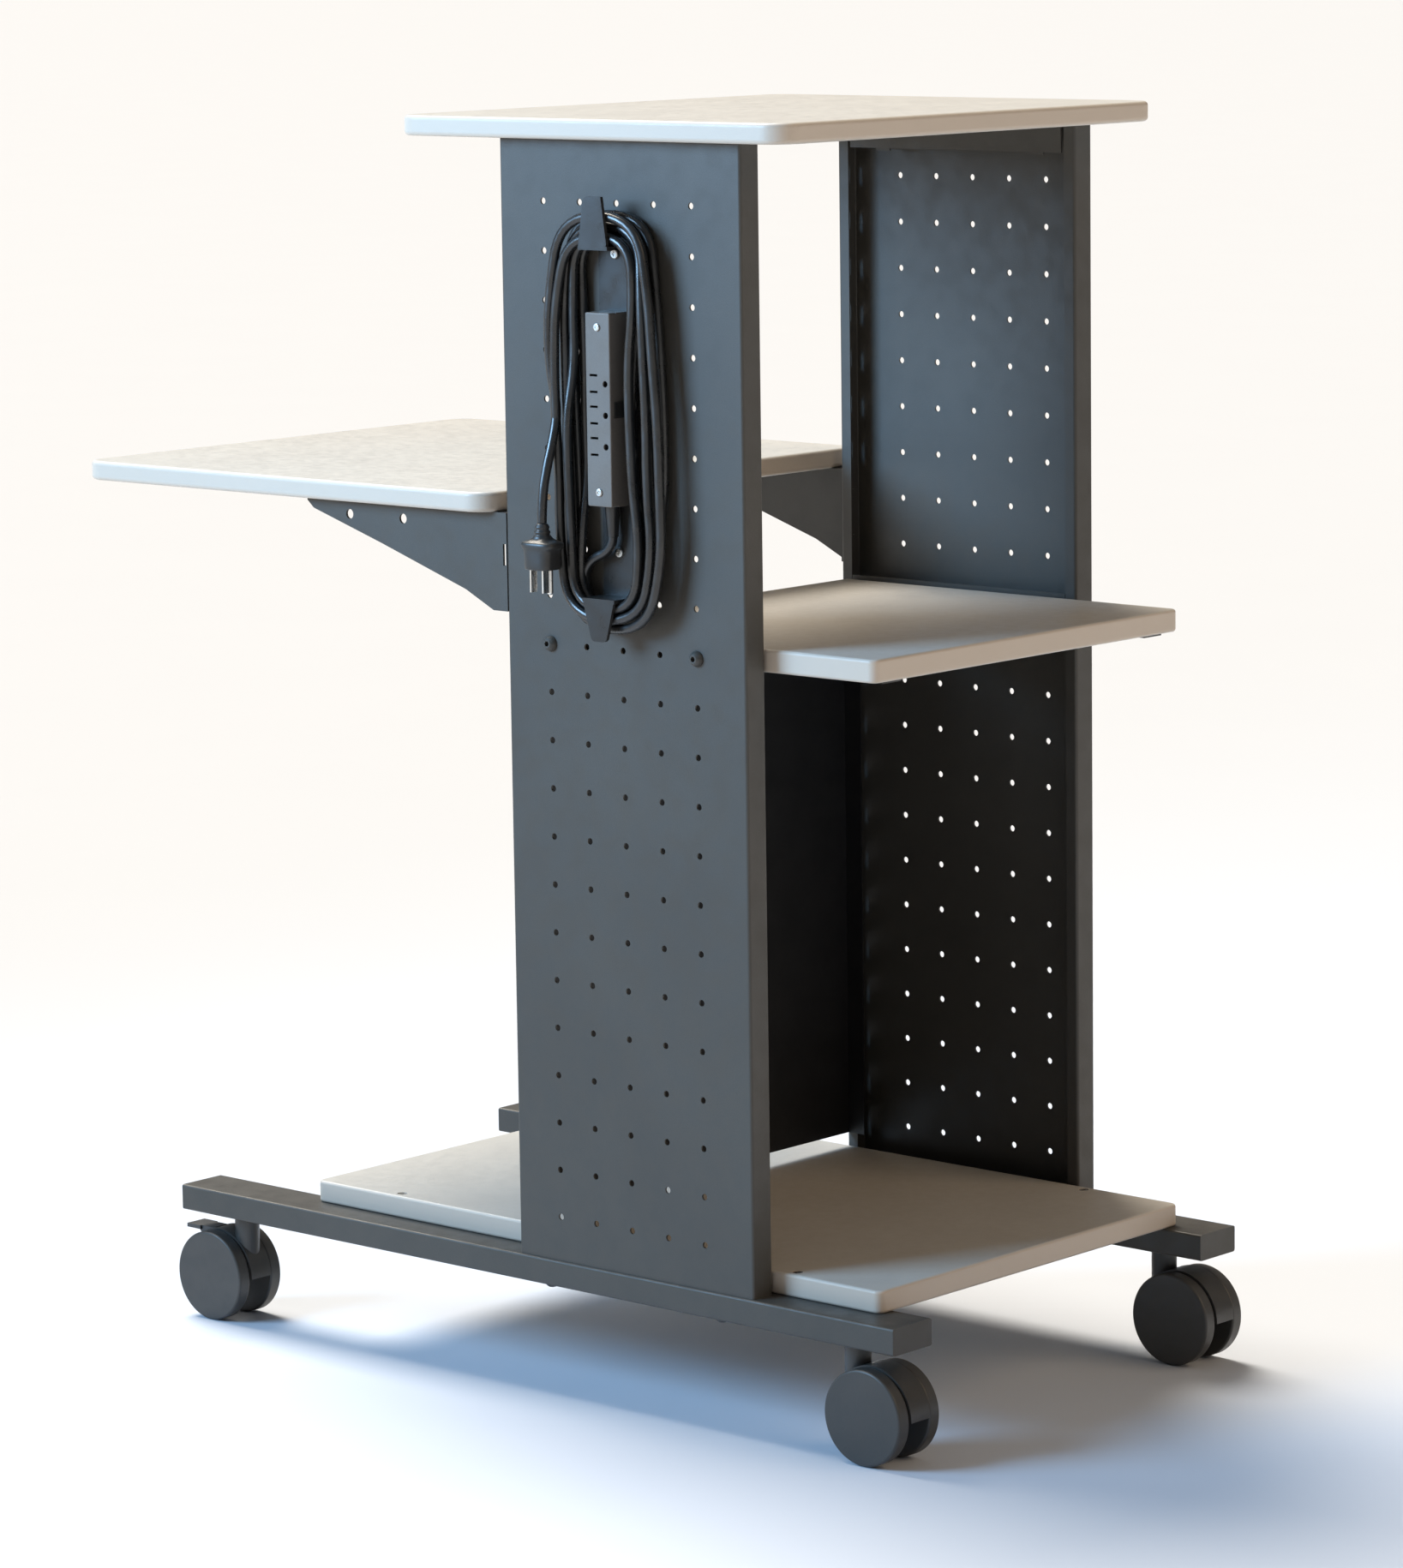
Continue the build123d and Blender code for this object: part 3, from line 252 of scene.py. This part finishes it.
class Finish:
    """A node material: each method adds one layer to its shader."""

    def __init__(self, name, colour, roughness, metallic=0.0):
        self.material = bpy.data.materials.new(name)
        self.material.use_nodes = True
        self.tree = self.material.node_tree
        self.shader = self.tree.nodes["Principled BSDF"]
        coordinates = self.tree.nodes.new("ShaderNodeTexCoord")
        self.place = coordinates.outputs["Object"]
        self.direction = coordinates.outputs["Normal"]
        self.normal = None
        self.colour = None
        self.set("Base Color", (*colour, 1.0))
        self.set("Roughness", roughness)
        self.set("Metallic", metallic)

    def set(self, socket, value):
        self.shader.inputs[socket].default_value = value

    def noise(self, scale, detail=3.0, stretch=(1.0, 1.0, 1.0)):
        """A noise field in object space. Scale is in cycles per metre."""
        mapping = self.tree.nodes.new("ShaderNodeMapping")
        mapping.inputs["Scale"].default_value = stretch
        field = self.tree.nodes.new("ShaderNodeTexNoise")
        field.inputs["Scale"].default_value = scale
        field.inputs["Detail"].default_value = detail
        self.tree.links.new(self.place, mapping.inputs["Vector"])
        self.tree.links.new(mapping.outputs["Vector"], field.inputs["Vector"])
        return field.outputs["Fac"]

    def spread(self, field, low, high, start=0.35, end=0.65):
        """The field, stretched to run from low to high."""
        node = self.tree.nodes.new("ShaderNodeMapRange")
        node.inputs["From Min"].default_value = start
        node.inputs["From Max"].default_value = end
        node.inputs["To Min"].default_value = low
        node.inputs["To Max"].default_value = high
        self.tree.links.new(field, node.inputs["Value"])
        return node.outputs["Result"]

    def bump(self, field, height, strength=1.0):
        """Adds relief of this height, in metres."""
        node = self.tree.nodes.new("ShaderNodeBump")
        node.inputs["Strength"].default_value = strength
        node.inputs["Distance"].default_value = height
        self.tree.links.new(field, node.inputs["Height"])
        if self.normal is not None:
            self.tree.links.new(self.normal, node.inputs["Normal"])
        self.normal = node.outputs["Normal"]
        self.tree.links.new(self.normal, self.shader.inputs["Normal"])

    def tint(self, factor, colour):
        """Mixes another colour in where the factor is high."""
        node = self.tree.nodes.new("ShaderNodeMix")
        node.data_type = "RGBA"
        if self.colour is None:
            node.inputs["A"].default_value = self.shader.inputs["Base Color"].default_value
        else:
            self.tree.links.new(self.colour, node.inputs["A"])
        node.inputs["B"].default_value = (*colour, 1.0)
        self.tree.links.new(factor, node.inputs["Factor"])
        self.colour = node.outputs["Result"]
        self.tree.links.new(self.colour, self.shader.inputs["Base Color"])

    def rough(self, field):
        self.tree.links.new(field, self.shader.inputs["Roughness"])

    def facing(self, direction, start, end):
        """1 where the surface faces this way, in object space, and 0 where it doesn't."""
        dot = self.tree.nodes.new("ShaderNodeVectorMath")
        dot.operation = "DOT_PRODUCT"
        dot.inputs[1].default_value = direction
        self.tree.links.new(self.direction, dot.inputs[0])
        return self.spread(dot.outputs["Value"], 0.0, 1.0, start, end)


def powder_coat(name, colour, dark, roughness):
    """Fine-textured powder coat with an even, slightly mottled colour."""
    finish = Finish(name, colour, roughness)
    clouds = finish.noise(scale=9.0, detail=4.0)
    finish.tint(finish.spread(clouds, low=0.0, high=0.55), dark)
    fleck = finish.noise(scale=900.0, detail=2.0)
    finish.tint(finish.spread(fleck, low=0.0, high=0.30), dark)
    wear = finish.noise(scale=60.0, detail=4.0)
    finish.rough(finish.spread(wear, low=roughness - 0.05, high=roughness + 0.07))
    finish.bump(finish.noise(scale=1300.0, detail=2.0), height=0.00012, strength=0.6)
    finish.bump(finish.noise(scale=45.0, detail=2.0), height=0.0004, strength=0.12)
    finish.set("Specular IOR Level", 0.45)
    return finish.material


def laminate(name, face, edge_painted_shade, speck):
    """Printed laminate with a fine fleck on its faces; its edges carry painted shade, warmer and
    darker.
    """
    finish = Finish(name, face, roughness=0.42)
    fleck = finish.noise(scale=750.0, detail=3.0)
    finish.tint(finish.spread(fleck, low=0.0, high=0.35, start=0.55, end=0.75), speck)
    clouds = finish.noise(scale=14.0, detail=4.0)
    finish.tint(finish.spread(clouds, low=0.0, high=0.25), speck)
    # Painted shade: faces that point neither up nor down, the edges, get the warmer, darker edge
    # colour in place of the dimmer warm light on them.
    above = finish.facing((0.0, 0.0, 1.0), start=0.55, end=0.85)
    below = finish.facing((0.0, 0.0, -1.0), start=0.55, end=0.85)
    level = finish.tree.nodes.new("ShaderNodeMath")
    level.operation = "ADD"
    finish.tree.links.new(above, level.inputs[0])
    finish.tree.links.new(below, level.inputs[1])
    painted_edge_shade_mask = finish.spread(level.outputs["Value"], low=1.0, high=0.0, start=0.0, end=1.0)
    finish.tint(painted_edge_shade_mask, edge_painted_shade)
    finish.rough(finish.spread(finish.noise(scale=120.0, detail=3.0), low=0.36, high=0.48))
    finish.bump(finish.noise(scale=520.0, detail=3.0), height=0.0001, strength=0.5)
    finish.set("Specular IOR Level", 0.4)
    return finish.material


def moulded(name, colour, dark, roughness):
    """Moulded plastic or rubber with a spark-eroded grain."""
    finish = Finish(name, colour, roughness)
    finish.tint(finish.spread(finish.noise(scale=22.0, detail=4.0), low=0.0, high=0.5), dark)
    wear = finish.noise(scale=90.0, detail=4.0)
    finish.rough(finish.spread(wear, low=roughness - 0.06, high=roughness + 0.08))
    finish.bump(finish.noise(scale=700.0, detail=3.0), height=0.00015, strength=0.5)
    return finish.material


def jacket(name, colour, dust):
    """Extruded cord jacket: soft sheen, dust in the hollows and a slight waviness."""
    finish = Finish(name, colour, roughness=0.30)
    hollows = finish.noise(scale=55.0, detail=4.0)
    finish.tint(finish.spread(hollows, low=0.0, high=0.5, start=0.45, end=0.75), dust)
    finish.rough(finish.spread(finish.noise(scale=70.0, detail=4.0), low=0.25, high=0.38))
    finish.bump(finish.noise(scale=60.0, detail=2.0), height=0.0012, strength=0.3)
    finish.bump(finish.noise(scale=1500.0, detail=2.0), height=0.00008, strength=0.4)
    finish.set("Specular IOR Level", 0.7)
    return finish.material


def plated(name, colour, roughness, stretch=(1.0, 1.0, 1.0)):
    """Plated steel with fine drawn marks."""
    finish = Finish(name, colour, roughness, metallic=1.0)
    marks = finish.noise(scale=400.0, detail=4.0, stretch=stretch)
    finish.rough(finish.spread(marks, low=roughness - 0.07, high=roughness + 0.12))
    dark = tuple(0.75 * value for value in colour)
    finish.tint(finish.spread(finish.noise(scale=120.0, detail=4.0), low=0.0, high=0.4), dark)
    scratches = finish.noise(scale=1500.0, detail=2.0, stretch=stretch)
    finish.bump(scratches, height=0.00004, strength=0.5)
    return finish.material


# Each finish's main colour, then those mixed into it, then its roughness where that varies.
slate = powder_coat("slate_powder_coat", (0.062, 0.057, 0.049), (0.049, 0.045, 0.039), 0.46)
# Painted shade: this black coat on the back panel makes the lower bay, which lies in shade, read
# black.
shade_black_coat = powder_coat("black_powder_coat", (0.012, 0.012, 0.013), (0.008, 0.008, 0.009), 0.45)
hook_coat = powder_coat("hook_powder_coat", (0.027, 0.026, 0.025), (0.019, 0.019, 0.018), 0.32)
# The board's second colour is the painted shade of its edges.
board = laminate("grey_laminate", (0.56, 0.52, 0.46), (0.54, 0.46, 0.38), (0.46, 0.42, 0.37))
black_plastic = moulded("black_plastic", (0.022, 0.022, 0.023), (0.015, 0.015, 0.016), 0.45)
strip_shell = powder_coat("strip_grey_shell", (0.150, 0.132, 0.116), (0.105, 0.092, 0.081), 0.40)
zinc = plated("zinc_steel", (0.62, 0.62, 0.60), 0.32)
nickel = plated("nickel_blades", (0.80, 0.79, 0.76), 0.22, stretch=(1.0, 1.0, 0.1))
cord_jacket = jacket("cord_jacket", (0.010, 0.010, 0.010), dust=(0.028, 0.028, 0.027))
plug_vinyl = moulded("plug_vinyl", (0.030, 0.030, 0.029), (0.018, 0.018, 0.018), 0.36)
hood_plastic = moulded("hood_plastic", (0.046, 0.043, 0.039), (0.035, 0.033, 0.030), 0.34)
tread = moulded("wheel_plastic", (0.050, 0.047, 0.043), (0.040, 0.038, 0.035), 0.42)
pedal_plastic = moulded("pedal_plastic", (0.060, 0.059, 0.058), (0.04, 0.04, 0.04), 0.40)

FINISHES = (
    (("base_rail", "rail_end_caps", "side_panel", "top_shelf_angle"), slate),
    (("middle_shelf_angle", "cantilever_bracket", "panel_to_rail_bolts"), slate),
    (("middle_shelf_bolts",), slate),
    (("back_panel_clips", "middle_shelf_spacers", "strip_outlets"), black_plastic),
    # Painted shade: the back panel is coated black so that the shaded lower bay reads black.
    (("back_panel",), shade_black_coat),
    (("cord_winder",), hook_coat),
    (("plug_body", "strain_relief"), cord_jacket),
    (("strip_housing", "strip_cover"), strip_shell),
    (("plug_blades",), nickel),
    (("caster_hood",), hood_plastic),
    (("caster_wheel",), tread),
    (("brake_pedal",), pedal_plastic),
)
SHELVES = ("top_shelf", "cantilever_shelf", "middle_shelf", "bottom_shelf")


def finish_of(name):
    """The finish of a CAD node: shelves by name, the rest by how their names start."""
    if name in SHELVES:
        return board
    for starts, material in FINISHES:
        if name.startswith(starts):
            return material
    return zinc


for name, node in nodes.items():
    node.data.materials.clear()
    node.data.materials.append(finish_of(name))
power_cord.data.materials.append(cord_jacket)
plug_moulding.data.materials.append(plug_vinyl)


# Floor and light ----------------------------------------------------------------------------

FLOOR_SIZE = 200.0
FLOOR_DROP = 0.0004  # under the wheels
FLOOR_COLOUR, FLOOR_CLOUDS = (0.62, 0.66, 0.73), (0.61, 0.65, 0.72)
LIGHT_SPREAD = 70.0
WORLD_COLOUR, WORLD_STRENGTH = (0.97, 0.98, 1.0, 1.0), 0.17


def add_floor():
    """A plain pale floor that runs out of sight."""
    half = FLOOR_SIZE / 2
    mesh = bpy.data.meshes.new("floor")
    signs = ((-1, -1), (1, -1), (1, 1), (-1, 1))
    corners = [(x * half, y * half, -FLOOR_DROP) for x, y in signs]
    mesh.from_pydata(corners, [], [(0, 1, 2, 3)])
    floor = bpy.data.objects.new("floor", mesh)
    finish = Finish("floor_paper", FLOOR_COLOUR, roughness=0.9)
    clouds = finish.noise(scale=3.0, detail=3.0)
    finish.tint(finish.spread(clouds, low=0.0, high=0.3), FLOOR_CLOUDS)
    mesh.materials.append(finish.material)
    bpy.context.scene.collection.objects.link(floor)


def add_light(data, place, target, colour, power):
    """Places a light so that it shines from place towards target."""
    data.color = colour
    data.energy = power
    light = bpy.data.objects.new(data.name, data)
    away = Vector(place) - Vector(target)
    light.rotation_euler = away.to_track_quat("Z", "Y").to_euler()
    light.location = place
    light.visible_camera = False
    bpy.context.scene.collection.objects.link(light)


def add_sun(name, source, colour, power, angle):
    """A soft distant light."""
    data = bpy.data.lights.new(name, "SUN")
    data.angle = radians(angle)
    add_light(data, source, (0.0, 0.0, 0.0), colour, power)


def add_panel(name, place, target, colour, power, size):
    """A square soft light."""
    data = bpy.data.lights.new(name, "AREA")
    data.shape = "SQUARE"
    data.size = size
    data.spread = radians(LIGHT_SPREAD)
    add_light(data, place, target, colour, power)


add_floor()
add_panel(
    "cool_side",
    place=(-2.2, 1.15, 1.75),
    target=(0.0, -0.1, 0.85),
    colour=(0.38, 0.66, 1.0),
    power=23.5,
    size=1.3,
)
add_sun(
    "warm_top",
    source=(0.15, 0.60, 1.0),
    colour=(1.0, 0.92, 0.80),
    power=4.7,
    angle=30.0,
)
add_sun(
    "low_front",
    source=(0.25, -1.0, 0.8),
    colour=(1.0, 0.74, 0.48),
    power=0.72,
    angle=40.0,
)

world = bpy.data.worlds.new("studio")
world.use_nodes = True
background = world.node_tree.nodes["Background"]
background.inputs["Color"].default_value = WORLD_COLOUR
background.inputs["Strength"].default_value = WORLD_STRENGTH
bpy.context.scene.world = world
bpy.context.scene.view_settings.view_transform = "Standard"
